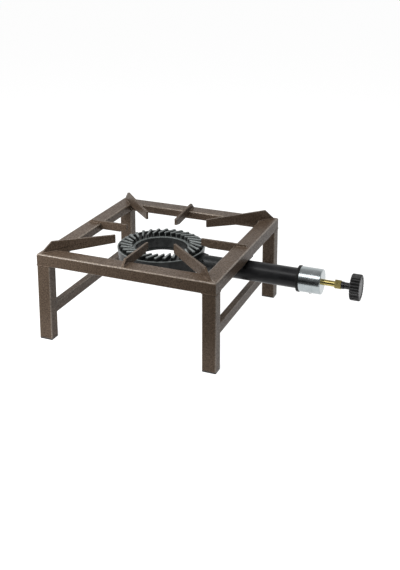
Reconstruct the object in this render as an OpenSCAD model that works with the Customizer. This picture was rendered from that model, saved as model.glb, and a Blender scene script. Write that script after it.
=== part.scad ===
/* [Frame] */
// Width of the square frame along the burner tube
frame_w = 400; // [340:5:480]
// Depth of the frame across the burner tube
frame_d = 400; // [340:5:480]
// Height of the frame's top face above the floor
frame_h = 190; // [175:5:260]
// Width of the top rails' upper face
rail_w = 36; // [34:1:42]
// Height of the top rails' outer flange
rail_drop = 25; // [22:0.5:27]
// Height of the top rails' inner lip
lip_drop = 18; // [12:0.5:20]
// Sheet thickness of the top rails
rail_t = 2.5; // [2:0.1:3]
// Outer bend radius of the top rails
bend_r = 3; // [2.6:0.1:4]

/* [Legs] */
// Leg tube's size along the burner tube
leg_x = 30; // [26:1:32]
// Leg tube's size across the burner tube
leg_y = 25; // [22:1:30]
// Wall of the leg tubes
leg_wall = 2; // [1.5:0.1:3]
// Corner radius of the leg tubes
leg_r = 2.4; // [2.2:0.1:4]
// Thickness of the foot plug's rim
plug_rim = 2.5; // [1.5:0.5:5]
// Depth of the foot plug inside its leg
plug_depth = 12; // [8:1:20]
// Clearance round the foot plug inside its leg
plug_fit = 0.1; // [0.05:0.05:0.3]

/* [Lower rails] */
// Width of the lower rail tubes
low_w = 15; // [12:1:20]
// Height of the lower rail tubes
low_h = 22; // [16:1:28]
// Height of the lower rails' underside above the floor
low_z = 54.5; // [40:0.5:70]
// Wall of the lower rail tubes
low_wall = 1.5; // [1.2:0.1:2.5]
// Corner radius of the lower rail tubes
low_r = 2; // [1.6:0.1:3]

/* [Pot supports] */
// Thickness of the pot support bars
bar_t = 5; // [4:0.5:6]
// Radius of the weld beads at the bars' feet
bead_r = 1.6; // [1:0.1:2.5]
// Gap between a bar and the rail's inner lip
bar_gap = 0.3; // [0.2:0.1:1]
// Corner bar's foot, inwards from the frame's corner
corner_foot = 10.8; // [8:0.2:14]
// Corner bar's highest point, inwards from the corner
corner_peak = 32.8; // [28:0.2:38]
// Corner bar's inner end, inwards from the corner
corner_reach = 170.8; // [150:0.2:180]
// Height of the corner bar's highest point
corner_peak_h = 22.5; // [16:0.5:30]
// Height of the corner bar's inner end
corner_end_h = 16.8; // [12:0.2:24]
// Depth of the corner bar's inner end under the top face
corner_end_drop = 1; // [0.5:0.1:4]
// Depth of the corner bar at the rail's inner lip
corner_lip_drop = 5; // [3:0.5:9]
// Side bar's foot, inwards from the frame's side
side_foot = 4.5; // [4:0.5:8]
// Length of the side bars
side_l = 106; // [98:1:110]
// Depth of the side bars, from their top edge down
side_depth = 19; // [16:0.5:20]
// Length of the chamfer at a side bar's inner end
side_chamfer_l = 18; // [6:1:24]
// Height of the chamfer at a side bar's inner end
side_chamfer_h = 5; // [3:0.5:7]
// Height of the front and back side bars' highest points
tall_h = 13; // [10:0.5:16]
// Height of the front side bar's inner end
front_end_h = 11.5; // [8:0.5:16]
// Height of the back side bar's inner end
back_end_h = 4.5; // [3:0.5:10]
// Height of the left and right side bars
low_bar_h = 5.5; // [4:0.5:9]
// Shift of the left side bar towards the back
left_shift = 14; // [2:0.5:18]
// Shift of the right side bar towards the front
right_shift = 2; // [1:0.5:8]
// Shift of the front side bar away from the tube
front_shift = 2.5; // [1:0.5:8]
// Shift of the back side bar away from the tube
back_shift = 12.5; // [4:0.5:16]
// Further reach of the front side bar over the burner
front_reach = 9; // [4:1:12]
// How much shorter the left side bar is
left_short = 9; // [4:1:14]
// Front right corner bar's foot, inwards from the frame's corner
front_right_foot = 17.8; // [12:0.2:24]
// Front right corner bar's highest point, inwards from the corner
front_right_peak = 40.6; // [34:0.2:46]
// Front right corner bar's inner end, inwards from the corner
front_right_reach = 179.6; // [165:0.2:182]
// Height of the front right corner bar's highest point
front_right_peak_h = 19.3; // [14:0.1:24]
// Height of the front right corner bar's inner end
front_right_end_h = 18.6; // [12:0.2:22]
// Sideways place of the front right corner bar
front_right_aside = 3.2; // [1:0.1:4]
// Turn of the front right corner bar out of the diagonal, degrees
front_right_turn = 3.8; // [0.5:0.1:5]
// Back right corner bar's inner end, inwards from the corner
back_right_reach = 177.6; // [165:0.2:180]
// Turn of the back right corner bar out of the diagonal, degrees
back_right_turn = 3.7; // [0.5:0.1:5]

/* [Burner] */
// Shift of the burner from the frame's centre, away from the tube
burner_shift = 7; // [0:1:15]
// Depth of the burner's tooth tops under the frame's top face
burner_drop = 19; // [16:0.5:24]
// Outer radius of the burner body's rim
ring_r = 97; // [90:1:104]
// Inwards taper of the body's outer wall towards the bottom
ring_taper = 4; // [2:0.5:5]
// Radius of the burner's open centre
centre_r = 58; // [52:1:62]
// Wall of the burner body
ring_wall = 4; // [3:0.5:5]
// Height of the burner body's rim above its base
ring_h = 32.6; // [28:0.2:38]
// Height of the rim above the head's plate
rim_rise = 3.2; // [2:0.2:5]
// Thickness of the rim round the head
rim_t = 2.7; // [2:0.1:3.5]
// Height of the foot ledge inside the open centre
ledge_h = 4.6; // [3:0.2:7]
// Width of the foot ledge inside the open centre
ledge_w = 2; // [1:0.5:3]
// Thickness of the head's plate
plate_t = 4; // [3:0.5:5]
// Clearance between the head and the body's rim
head_gap = 0.3; // [0.2:0.1:0.6]
// Number of teeth on the burner head
teeth = 30; // [24:1:34]
// Height of the teeth above the head's plate
tooth_h = 9.6; // [6:0.2:12]
// Outer radius of the teeth
tooth_r = 90; // [84:1:91]
// Width of a tooth at its inner end
tooth_in_w = 4.6; // [4:0.2:6]
// Width of a tooth at its outer end
tooth_out_w = 7.8; // [7:0.2:10]
// Turn of a tooth's outer end behind its inner end, degrees
tooth_sweep = 14; // [8:1:18]
// Plain margin between the open centre and the teeth
tooth_margin = 3; // [2:0.5:5]
// Width of a gas slit between two teeth
slit_w = 1.6; // [1:0.1:2.4]

/* [Burner tube] */
// Depth of the tube's axis under the tooth tops
tube_drop = 32.6; // [30:0.2:36]
// Outer radius of the mixing tube
tube_r = 21.2; // [20:0.1:22.5]
// Wall of the mixing tube
tube_wall = 2.6; // [2:0.1:3.2]
// Place of the mixing tube's inner end, inwards from the frame's side
tube_back = 50; // [40:1:60]
// Reach of the mixing tube's collar beyond the frame's side
tube_reach = 112; // [90:1:140]
// Overlap of the neck inside the mixing tube
neck_overlap = 40; // [25:1:50]
// Wall of the neck
neck_wall = 4; // [3:0.5:5]
// Clearance between neck and tube
neck_fit = 0.1; // [0.05:0.05:0.2]
// Radius of the fillets between ring and neck
neck_fillet = 18; // [12:1:20]
// Depth of the neck's flare under the ring
flare_drop = 8; // [4:0.5:8]
// Length of the neck's flare under the ring, inwards from the ring's edge
flare_l = 24; // [8:1:28]
// Outer radius of the collar
collar_r = 27.5; // [26.5:0.1:30]
// Thickness of the collar
collar_t = 6; // [4:0.5:8]

/* [Hanger] */
// Length of the hanger brackets and the saddle along the tube
hanger_l = 24; // [18:1:26]
// Sheet thickness of the brackets and the saddle
hanger_t = 3; // [2.5:0.5:4]
// Half of the hanger's overall width
hanger_half = 38; // [36:0.5:42]
// Height of the saddle's wings above the tube's axis
wing_rise = 16.6; // [15:0.2:17.5]
// Distance of the bolts from the tube's axis
bolt_y = 25; // [24:0.5:27]
// Radius of the bolts' shanks
bolt_r = 3; // [2.5:0.5:3.5]
// Width across flats of the bolt heads and nuts
bolt_flats = 10; // [8:0.5:11]
// Height of a bolt head
bolt_head_h = 4; // [3:0.5:5]
// Height of a nut
nut_h = 5; // [4:0.5:6]
// Clearance round the bolts
bolt_gap = 0.3; // [0.2:0.1:0.5]
// Length of bolt thread that stands out of its nut
bolt_out = 2; // [1:0.5:4]

/* [Air shutter] */
// Outer radius of the air shutter
shutter_r = 26.25; // [25.5:0.05:27.5]
// Wall of the air shutter
shutter_wall = 1.8; // [1.5:0.1:2.2]
// Length of the air shutter
shutter_l = 45.5; // [38:0.5:50]
// Gap between the closed shutter and the collar
shutter_gap = 0.3; // [0.2:0.1:1]
// Radial clearance of the sliding shutter on its holder
slide_fit = 0.08; // [0.05:0.01:0.1]
// Travel of the air shutter
shutter_travel = 12; // [6:1:14]
// Edge of the jet holder beyond the lock screw at full travel
lock_edge = 1.7; // [1:0.1:2.5]
// Depth of the mixing tube inside the jet holder
holder_socket = 6; // [4:0.5:8]
// Length of the air windows
window_l = 14; // [8:1:15]
// Width of the air windows
window_w = 26; // [18:1:28]
// Thickness of the holder's end web
web_t = 4; // [3:0.5:5]
// Place of the lock screw, from the shutter's inner end
lock_x = 20; // [18:0.5:22]
// Radius of the lock screw's shank
lock_r = 2; // [1.5:0.1:2.5]
// Radius of the lock screw's head
lock_head_r = 3.6; // [3:0.1:4.5]
// Height of the lock screw's head
lock_head_h = 2.6; // [2:0.1:3.5]
// Clearance of the lock screw in the shutter
lock_fit = 0.08; // [0.05:0.01:0.1]

/* [Gas valve] */
// Radius of the valve body's visible nose
nose_r = 6.1; // [5.5:0.1:7]
// Length of the nose between shutter and hexagon
nose_l = 26.2; // [22:0.2:34]
// Radius of the nose's threaded end
thread_r = 5; // [4.6:0.1:5.2]
// Width across flats of the jet nut
jet_nut_flats = 14; // [12:0.5:17]
// Thickness of the jet nut
jet_nut_t = 4; // [3:0.5:6]
// Length of thread left of the jet nut
thread_out = 2; // [1:0.5:4]
// Width across flats of the valve body's hexagon
hex_flats = 17.5; // [16:0.5:19]
// Length of the valve body's hexagon
hex_l = 13; // [12:0.5:16]
// Radius of the gas inlet's wall
inlet_r = 3.5; // [2.8:0.1:3.6]
// Wall between the gas inlet and the gland nut
inlet_wall = 0.8; // [0.6:0.1:1.5]
// Radius of the valve body's chamber
chamber_r = 3; // [2.6:0.1:3.4]
// Radius of the gas passage behind the seat
passage_r = 1.5; // [1:0.1:1.8]
// Length of the needle
needle_l = 26; // [22:1:28]
// Radial clearance of the needle and the spindle
valve_fit = 0.05; // [0.03:0.01:0.1]
// Travel of the needle
needle_travel = 1.8; // [1:0.1:2.4]
// Radius of the spindle
spindle_r = 2.4; // [2:0.1:2.5]
// Radius of the spindle's drive thread inside the needle
drive_r = 1.4; // [1:0.1:1.6]
// Length of the spindle's drive thread
drive_l = 8; // [6:0.5:10]
// Thickness of the spindle's stop collar
stop_t = 1.5; // [1:0.1:2]
// Thickness of the gland packing
packing_t = 2; // [1.5:0.1:2.5]
// Radius of the gland nut's thread inside the hexagon
gland_thread_r = 5.6; // [5.4:0.1:6]
// Wall of the gland nut round the packing
gland_wall = 1.4; // [1:0.1:1.5]
// Clearance of the spindle's collar and the packing in the gland nut
gland_fit = 0.1; // [0.05:0.01:0.15]
// Outer radius of the gland nut
gland_r = 7.8; // [7:0.1:8.5]
// Length of the gland nut outside the hexagon
gland_l = 6; // [4:0.5:8]
// Radius of the knob's neck
hub_r = 6.9; // [6.2:0.1:7.6]
// Length of the knob's neck
hub_l = 13.8; // [10:0.2:24]
// Radius of the knob
knob_r = 27.1; // [24:0.1:30]
// Thickness of the knob
knob_t = 20.4; // [16:0.2:22]
// Number of grooves round the knob
knob_grooves = 26; // [18:1:30]
// Radius of the grooves round the knob
groove_r = 1.7; // [1:0.1:2]
// Rounding of the knob's rim
knob_round = 2; // [1:0.1:3]
// Running gap between the knob and the gland nut
knob_gap = 0.5; // [0.3:0.1:1]

/* [Hidden] */
$fn = 64;
// One overrun serves all cuts
over = 1;
// Small curves keep fewer sides
small_fn = 32;

// Frame
leg_top = frame_h - rail_drop;
low_x = frame_w/2 - leg_x;

// Burner heights
tooth_top = frame_h - burner_drop;
plate_top = tooth_top - tooth_h;
plate_bottom = plate_top - plate_t;
rim_top = plate_top + rim_rise;
ring_base = rim_top - ring_h;
head_r = ring_r - rim_t - head_gap;
ring_base_r = ring_r - ring_taper;
chamber_out = ring_base_r - ring_wall;
chamber_in = centre_r + ring_wall;
tube_z = tooth_top - tube_drop;

// Places along the burner tube, measured from the frame's centre
side_x = frame_w/2;
neck_r = tube_r - tube_wall - neck_fit;
neck_bore = neck_r - neck_wall;
tube_start = side_x - tube_back;
neck_end = tube_start + neck_overlap;
rail_mid = side_x - rail_w/2;
collar_face = side_x + tube_reach;
shutter_x = collar_face + shutter_gap;
shutter_end = shutter_x + shutter_l;
shutter_in = shutter_r - shutter_wall;
holder_r = shutter_in - slide_fit;
holder_l = shutter_gap + lock_x + shutter_travel + lock_r + lock_edge;
web_x = collar_face + holder_l - web_t;
thread_start = web_x - jet_nut_t - thread_out;
hex_x = shutter_end + nose_l;
hex_end = hex_x + hex_l;
gland_end = hex_end + gland_l;
hub_x = gland_end + knob_gap;
knob_x = hub_x + hub_l;
knob_end = knob_x + knob_t;
mid_x = (knob_end - side_x)/2;

// Shares of the valve's and the knob's sizes
tip_share = 0.2;
tip_r_share = 0.25;
jet_share = 0.6;
flat_share = 0.75;
knob_bore_share = 0.7;
plug_hollow_share = 0.8;

// Depths inside the valve, from the hexagon's outer face inwards
pocket_r = gland_thread_r - gland_wall;
packing_x = hex_end - packing_t;
stop_x = packing_x - gland_fit - stop_t;
gland_in = stop_x - gland_fit;
inlet_x = gland_in - inlet_wall - inlet_r;
needle_x = stop_x - gland_fit - needle_travel - needle_l;
tip_l = tip_share*needle_l;
tip_r = tip_r_share*passage_r;
seat_x = needle_x + tip_l*(passage_r - tip_r)/(chamber_r - valve_fit - tip_r) - gland_fit;

// Everything is drawn from the frame's centre and moved so that the origin lies under the middle
module placed() {
  translate([-mid_x, 0, 0]) children();
}

module rounded_rect(w, d, r) {
  translate([-w/2 + r, -d/2]) square([w - 2*r, d]);
  translate([-w/2, -d/2 + r]) square([w, d - 2*r]);
  for (x = [-1, 1], y = [-1, 1])
    translate([x*(w/2 - r), y*(d/2 - r)]) circle(r);
}

module rect_tube(w, d, r, wall, l) {
  linear_extrude(l)
    difference() {
      rounded_rect(w, d, r);
      rounded_rect(w - 2*wall, d - 2*wall, r - wall/2);
    }
}

// Lies along the tube axis from x
module along(x) {
  translate([x, 0, tube_z]) rotate([0, 90, 0]) children();
}

module ring_bar(r_out, r_in, l) {
  difference() {
    cylinder(r = r_out, h = l);
    translate([0, 0, -over]) cylinder(r = r_in, h = l + 2*over);
  }
}

module hexagon(flats, l) {
  rotate(30) cylinder(d = flats/cos(30), h = l, $fn = 6);
}

// Top rails

module rail_profile() {
  difference() {
    union() {
      translate([bend_r, -rail_drop]) square([rail_w - 2*bend_r, rail_drop]);
      translate([0, -rail_drop]) square([rail_w, rail_drop - bend_r]);
      for (u = [bend_r, rail_w - bend_r]) translate([u, -bend_r]) circle(bend_r);
    }
    translate([rail_t, -rail_drop - over])
      square([rail_w - 2*rail_t, rail_drop + over - rail_t]);
    translate([rail_w/2, -rail_drop - over])
      square([rail_w/2 + over, rail_drop - lip_drop + over]);
  }
}

module top_rail(l) {
  color("#5b5047")
    intersection() {
      translate([-l/2, 0, 0]) rotate([90, 0, 90]) linear_extrude(l) rail_profile();
      translate([0, 0, -rail_drop - over])
        linear_extrude(rail_drop + 2*over)
          polygon([
            [-l/2 - over, -over], [l/2 + over, -over],
            [l/2 - rail_w - over, rail_w + over], [-l/2 + rail_w + over, rail_w + over]
          ]);
    }
}

module front_rail() {
  translate([0, -frame_d/2, frame_h]) top_rail(frame_w);
}

module side_rail() {
  translate([frame_w/2, 0, frame_h]) rotate(90) top_rail(frame_d);
}

module top_rail_front() { placed() front_rail(); }
module top_rail_back() { placed() rotate(180) front_rail(); }
module top_rail_right() { placed() side_rail(); }
module top_rail_left() { placed() rotate(180) side_rail(); }

// Legs and feet

module at_leg(sx, sy) {
  placed()
    translate([sx*(frame_w - leg_x)/2, sy*(frame_d - leg_y)/2, 0]) children();
}

module leg() {
  color("#5b5047")
    translate([0, 0, plug_rim])
      rect_tube(leg_x, leg_y, leg_r, leg_wall, leg_top - plug_rim);
}

module foot_plug() {
  gap = leg_wall + plug_fit;
  color("#1d1c1b") {
    linear_extrude(plug_rim) rounded_rect(leg_x, leg_y, leg_r);
    difference() {
      linear_extrude(plug_rim + plug_depth)
        rounded_rect(leg_x - 2*gap, leg_y - 2*gap, leg_r - gap/2);
      translate([0, 0, plug_rim])
        linear_extrude(plug_depth + over)
          rounded_rect(
            plug_hollow_share*(leg_x - 2*gap), plug_hollow_share*(leg_y - 2*gap), leg_r/2);
    }
  }
}

module leg_front_left() { at_leg(-1, -1) leg(); }
module leg_front_right() { at_leg(1, -1) leg(); }
module leg_back_left() { at_leg(-1, 1) leg(); }
module leg_back_right() { at_leg(1, 1) leg(); }
module foot_plug_front_left() { at_leg(-1, -1) foot_plug(); }
module foot_plug_front_right() { at_leg(1, -1) foot_plug(); }
module foot_plug_back_left() { at_leg(-1, 1) foot_plug(); }
module foot_plug_back_right() { at_leg(1, 1) foot_plug(); }

// Lower rails, flush with the inner faces of the legs

module lower_rail(side) {
  l = frame_d - 2*leg_y;
  color("#5b5047")
    placed()
      translate([side*(low_x + low_w/2), -l/2, low_z + low_h/2])
        rotate([-90, 0, 0]) rect_tube(low_w, low_h, low_r, low_wall, l);
}

module lower_rail_left() { lower_rail(-1); }
module lower_rail_right() { lower_rail(1); }

// Pot supports, drawn in outline from the frame's edge inwards

module support(outline, foot, notch) {
  color("#5b5047") {
    rotate([90, 0, 0])
      translate([0, 0, -bar_t/2]) linear_extrude(bar_t) polygon(outline);
    difference() {
      for (side = [-1, 1])
        translate([foot + bead_r, side*bar_t/2, 0])
          rotate([0, 90, 0]) cylinder(r = bead_r, h = notch - foot - 3*bead_r, $fn = small_fn);
      translate([foot - over, -bar_t, -2*bead_r])
        cube([notch - foot + 2*over, 2*bar_t, 2*bead_r]);
    }
  }
}

module corner_bar(turn, aside, foot, peak, end) {
  off = abs(rail_w*sqrt(2)*sin(turn)) + aside;
  notch = rail_w*sqrt(2) - bar_t/2 - bar_gap - off;
  notch_in = rail_w*sqrt(2) + bar_t/2 + bar_gap + off;
  support([
    [foot, 0], peak, end, [end[0], -corner_end_drop],
    [notch_in, -corner_lip_drop], [notch_in, 0]
  ], foot, notch);
}

module side_bar(outer_h, inner_h, extra) {
  notch_in = rail_w + bar_gap;
  peak = side_foot + outer_h;
  reach = side_foot + side_l + extra;
  slope = (inner_h - outer_h)/(reach - peak);
  support([
    [side_foot, 0], [peak, outer_h], [reach, inner_h],
    [reach, inner_h + side_chamfer_h - side_depth],
    [reach - side_chamfer_l, inner_h - slope*side_chamfer_l - side_depth],
    [notch_in, outer_h + slope*(notch_in - peak) - side_depth], [notch_in, 0]
  ], side_foot, rail_w - bend_r);
}

module at_corner(sx, sy, turn) {
  placed()
    translate([sx*frame_w/2, sy*frame_d/2, frame_h])
      rotate(atan2(-sy, -sx) + turn) children();
}

module plain_corner_bar() {
  corner_bar(0, 0, corner_foot, [corner_peak, corner_peak_h], [corner_reach, corner_end_h]);
}

// The bar points inwards from the side, and its shift is anticlockwise round the frame
module at_side(angle, half, shift) {
  placed()
    rotate(angle) translate([half, shift, frame_h]) rotate(180) children();
}

module corner_support_front_left() {
  at_corner(-1, -1, 0) plain_corner_bar();
}

module corner_support_front_right() {
  peak = [front_right_peak, front_right_peak_h];
  end = [front_right_reach, front_right_end_h];
  at_corner(1, -1, front_right_turn)
    translate([0, front_right_aside, 0])
      corner_bar(front_right_turn, front_right_aside, front_right_foot, peak, end);
}

module corner_support_back_left() {
  at_corner(-1, 1, 0) plain_corner_bar();
}

module corner_support_back_right() {
  end = [back_right_reach, corner_end_h];
  at_corner(1, 1, -back_right_turn)
    corner_bar(back_right_turn, 0, corner_foot, [corner_peak, corner_peak_h], end);
}

module side_support_right() {
  at_side(0, frame_w/2, -right_shift) side_bar(low_bar_h, low_bar_h, 0);
}

module side_support_back() {
  at_side(90, frame_d/2, back_shift) side_bar(tall_h, back_end_h, 0);
}

module side_support_left() {
  at_side(180, frame_w/2, -left_shift) side_bar(low_bar_h, low_bar_h, -left_short);
}

module side_support_front() {
  at_side(270, frame_d/2, -front_shift) side_bar(tall_h, front_end_h, front_reach);
}

// Burner body: an annular gas chamber with its neck, cast in one piece

module at_burner() {
  placed() translate([-burner_shift, 0, 0]) children();
}

module ring_solid() {
  rotate_extrude()
    polygon([
      [centre_r - ledge_w, ring_base], [ring_base_r, ring_base], [ring_r, rim_top],
      [centre_r, rim_top], [centre_r, ring_base + ledge_h], [centre_r - ledge_w, ring_base + ledge_h]
    ]);
}

// Flared web between the ring and the neck, from one distance and height on
module neck_web(start, bottom) {
  reach = ring_base_r + neck_fillet;
  half = neck_r + neck_fillet;
  web_end = sqrt(reach*reach - half*half);
  tangent_y = half*ring_base_r/reach;
  translate([0, 0, bottom])
    linear_extrude(tube_z + neck_r - neck_wall - bottom)
      difference() {
        translate([start, -tangent_y]) square([web_end - start, 2*tangent_y]);
        for (side = [-1, 1]) translate([web_end, side*half]) circle(neck_fillet);
      }
}

module neck() {
  start = centre_r + neck_r - ledge_w;
  translate([start, 0, tube_z]) {
    sphere(neck_r);
    rotate([0, 90, 0]) cylinder(r = neck_r, h = neck_end + burner_shift - start);
  }
}

module burner_body() {
  bore_start = centre_r + neck_r - neck_wall;
  flare_in = ring_base_r - flare_l;
  color("#383b3a")
    at_burner()
      difference() {
        union() {
          ring_solid();
          neck_web(chamber_in, ring_base);
          neck_web(flare_in, ring_base - flare_drop);
          neck();
        }
        // Gas chamber
        translate([0, 0, ring_base + ring_wall])
          rotate_extrude()
            translate([chamber_in, 0]) square([chamber_out - chamber_in, ring_h]);
        // Seat of the head, with its rim
        translate([0, 0, plate_bottom])
          cylinder(r = ring_r - rim_t, h = ring_h);
        // Bore of the neck
        translate([bore_start, 0, tube_z])
          rotate([0, 90, 0]) cylinder(r = neck_bore, h = frame_w);
      }
}

// Burner head: a plate with slanted teeth and gas slits, set into the body's rim

function polar(r, a) = [r*cos(a), r*sin(a)];

module tooth_outline(w_in, w_out, r_in, r_out) {
  turn = (r_out - r_in)/(tooth_r - centre_r - tooth_margin)*tooth_sweep;
  inner = polar(r_in, 0);
  outer = polar(r_out, -turn);
  run = outer - inner;
  across = [-run[1], run[0]]/norm(run);
  polygon([
    inner - across*w_in/2, outer - across*w_out/2, outer + across*w_out/2, inner + across*w_in/2
  ]);
}

module burner_head() {
  step = 360/teeth;
  tooth_in = centre_r + tooth_margin;
  color("#383b3a")
    at_burner()
      difference() {
        union() {
          translate([0, 0, plate_bottom]) ring_bar(head_r, centre_r, plate_t);
          intersection() {
            for (i = [0:teeth - 1])
              rotate(i*step)
                translate([0, 0, plate_bottom + plate_t/2])
                  linear_extrude(plate_t/2 + tooth_h)
                    tooth_outline(tooth_in_w, tooth_out_w, tooth_in - ledge_w, tooth_r + ledge_w);
            translate([0, 0, plate_bottom]) ring_bar(tooth_r, tooth_in, plate_t + tooth_h);
          }
        }
        for (i = [0:teeth - 1])
          rotate((i + 1/2)*step - tooth_sweep/4)
            translate([0, 0, plate_bottom - over])
              linear_extrude(plate_t + 2*over)
                tooth_outline(slit_w, slit_w, chamber_in + ring_wall, chamber_out - ring_wall);
      }
}

// Mixing tube and its collar

module mixing_tube() {
  color("#1b1b1c")
    placed()
      along(tube_start) ring_bar(tube_r, tube_r - tube_wall, collar_face + holder_socket - tube_start);
}

module tube_collar() {
  color("#141414")
    placed() along(collar_face - collar_t) ring_bar(collar_r, tube_r + neck_fit, collar_t);
}

// Hanger: brackets welded inside the right top rail, bolted to a saddle welded on the tube

module bolt_places() {
  for (side = [-1, 1]) translate([rail_mid, side*bolt_y, 0]) children();
}

module bolt_holes() {
  bolt_places()
    translate([0, 0, tube_z]) cylinder(r = bolt_r + bolt_gap, h = frame_h);
}

module tube_saddle() {
  wing_z = tube_z + wing_rise;
  color("#1b1b1c")
    placed()
      difference() {
        union() {
          translate([rail_mid - hanger_l/2, -hanger_half, wing_z])
            cube([hanger_l, 2*hanger_half, hanger_t]);
          along(rail_mid - hanger_l/2) cylinder(r = tube_r + hanger_t, h = hanger_l);
        }
        along(rail_mid - hanger_l) cylinder(r = tube_r + neck_fit, h = 2*hanger_l);
        translate([rail_mid - hanger_l, -2*hanger_half, 0])
          cube([2*hanger_l, 4*hanger_half, wing_z]);
        bolt_holes();
      }
}

module hanger_brackets() {
  foot_z = tube_z + wing_rise + hanger_t;
  foot_in = tube_r - hanger_t/2;
  color("#5b5047")
    placed()
      difference() {
        for (side = [0, 1])
          mirror([0, side, 0])
            translate([rail_mid - hanger_l/2, 0, foot_z]) {
              translate([0, foot_in, 0]) cube([hanger_l, hanger_half - foot_in, hanger_t]);
              translate([0, hanger_half - hanger_t, 0])
                cube([hanger_l, hanger_t, frame_h - rail_t - foot_z]);
            }
        bolt_holes();
      }
}

module hanger_bolts() {
  wing_z = tube_z + wing_rise;
  color("#9a9c9d")
    placed()
      bolt_places() {
        translate([0, 0, wing_z - bolt_head_h]) hexagon(bolt_flats, bolt_head_h);
        translate([0, 0, wing_z - bolt_head_h/2])
          cylinder(r = bolt_r, h = bolt_head_h/2 + 2*hanger_t + nut_h + bolt_out);
      }
}

module hanger_nuts() {
  color("#9a9c9d")
    placed()
      bolt_places()
        translate([0, 0, tube_z + wing_rise + 2*hanger_t])
          difference() {
            hexagon(bolt_flats, nut_h);
            translate([0, 0, -over]) cylinder(r = bolt_r + valve_fit, h = nut_h + 2*over);
          }
}

// Jet holder: a sleeve on the tube's end with air windows and a web for the valve body

module jet_holder() {
  color("#8d8f90")
    placed()
      difference() {
        along(collar_face) cylinder(r = holder_r, h = holder_l);
        along(collar_face - over) cylinder(r = tube_r + neck_fit, h = holder_l - web_t + over);
        along(collar_face) cylinder(r = thread_r + slide_fit, h = holder_l + over);
        for (a = [0:90:270])
          translate([collar_face + holder_socket + over, 0, tube_z])
            rotate([a + 45, 0, 0])
              translate([0, -window_w/2, 0]) cube([window_l, window_w, 2*holder_r]);
      }
}

module air_shutter() {
  color("#c3c8c9")
    placed()
      difference() {
        along(shutter_x) cylinder(r = shutter_r, h = shutter_l);
        along(shutter_x - over) cylinder(r = shutter_in, h = shutter_l - shutter_wall + over);
        along(shutter_x) cylinder(r = nose_r + shutter_gap, h = shutter_l + over);
        translate([shutter_x + lock_x, 0, tube_z])
          rotate([180, 0, 0]) cylinder(r = lock_r + lock_fit, h = 2*shutter_r, $fn = small_fn);
      }
}

module lock_screw() {
  tip = holder_r + shutter_gap;
  color("#8d8f90")
    placed()
      translate([shutter_x + lock_x, 0, tube_z])
        rotate([180, 0, 0]) {
          translate([0, 0, tip])
            cylinder(r = lock_r, h = shutter_r + lock_head_h - tip, $fn = small_fn);
          difference() {
            translate([0, 0, shutter_r + shutter_gap/2])
              cylinder(r = lock_head_r, h = lock_head_h, $fn = small_fn);
            translate([-lock_head_r - over, -lock_r/4, shutter_r + lock_head_h/2])
              cube([2*lock_head_r + 2*over, lock_r/2, lock_head_h]);
          }
        }
}

// Gas valve: body, jet, needle, spindle and gland

module jet_nut() {
  color("#b08d3e")
    placed()
      along(web_x - jet_nut_t)
        difference() {
          hexagon(jet_nut_flats, jet_nut_t);
          translate([0, 0, -over]) cylinder(r = thread_r + valve_fit, h = jet_nut_t + 2*over);
        }
}

module injector_jet() {
  head = jet_nut_t;
  color("#b08d3e")
    placed()
      along(thread_start - head)
        difference() {
          union() {
            hexagon(2*thread_r - 2*valve_fit, head);
            cylinder(r = chamber_r - valve_fit, h = head + jet_nut_t);
          }
          translate([0, 0, -over]) cylinder(r = passage_r/4, h = 2*head, $fn = small_fn);
          translate([0, 0, jet_share*head]) cylinder(r = passage_r, h = 2*head, $fn = small_fn);
        }
}

module valve_body() {
  color("#b08d3e")
    placed()
      difference() {
        union() {
          along(thread_start) cylinder(r = thread_r, h = hex_x - thread_start);
          along(web_x + web_t) cylinder(r = nose_r, h = hex_x + over - web_x - web_t);
          along(hex_x) rotate(30) hexagon(hex_flats, hex_l);
        }
        // Socket of the jet
        along(thread_start - over) cylinder(r = chamber_r, h = jet_nut_t + thread_out + over);
        // Gas passage and needle chamber
        along(thread_start) cylinder(r = passage_r, h = seat_x + over - thread_start, $fn = small_fn);
        along(seat_x) cylinder(r = chamber_r, h = hex_end - seat_x);
        // Thread of the gland nut
        along(gland_in) cylinder(r = gland_thread_r, h = hex_end - gland_in + over);
        // Gas inlet
        translate([inlet_x, flat_share*chamber_r, tube_z])
          rotate([-90, 0, 0]) cylinder(r = inlet_r, h = hex_flats);
      }
}

module valve_needle() {
  drive_depth = drive_l + 2*needle_travel;
  color("#8d8f90")
    placed()
      along(needle_x)
        difference() {
          union() {
            translate([0, 0, tip_l]) cylinder(r = chamber_r - valve_fit, h = needle_l - tip_l);
            cylinder(r1 = tip_r, r2 = chamber_r - valve_fit, h = tip_l);
          }
          // Flats that let the gas pass, one of them under the gas inlet
          for (a = [90:120:330])
            rotate(a)
              translate([flat_share*chamber_r, -chamber_r, -over])
                cube([chamber_r, 2*chamber_r, needle_l + 2*over]);
          translate([0, 0, needle_l - drive_depth])
            cylinder(r = drive_r + valve_fit, h = drive_depth + over, $fn = small_fn);
        }
}

module valve_spindle() {
  bore_end = knob_x + knob_bore_share*knob_t;
  color("#2a2a2b")
    placed() {
      along(stop_x - needle_travel - drive_l)
        cylinder(r = drive_r, h = drive_l + needle_travel + stop_t/2, $fn = small_fn);
      along(stop_x) cylinder(r = pocket_r - gland_fit, h = stop_t);
      along(stop_x + stop_t/2) cylinder(r = spindle_r, h = bore_end - stop_x - stop_t/2);
    }
}

module gland_packing() {
  color("#e8e6df")
    placed()
      along(packing_x) ring_bar(pocket_r - gland_fit, spindle_r + valve_fit, packing_t);
}

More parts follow.
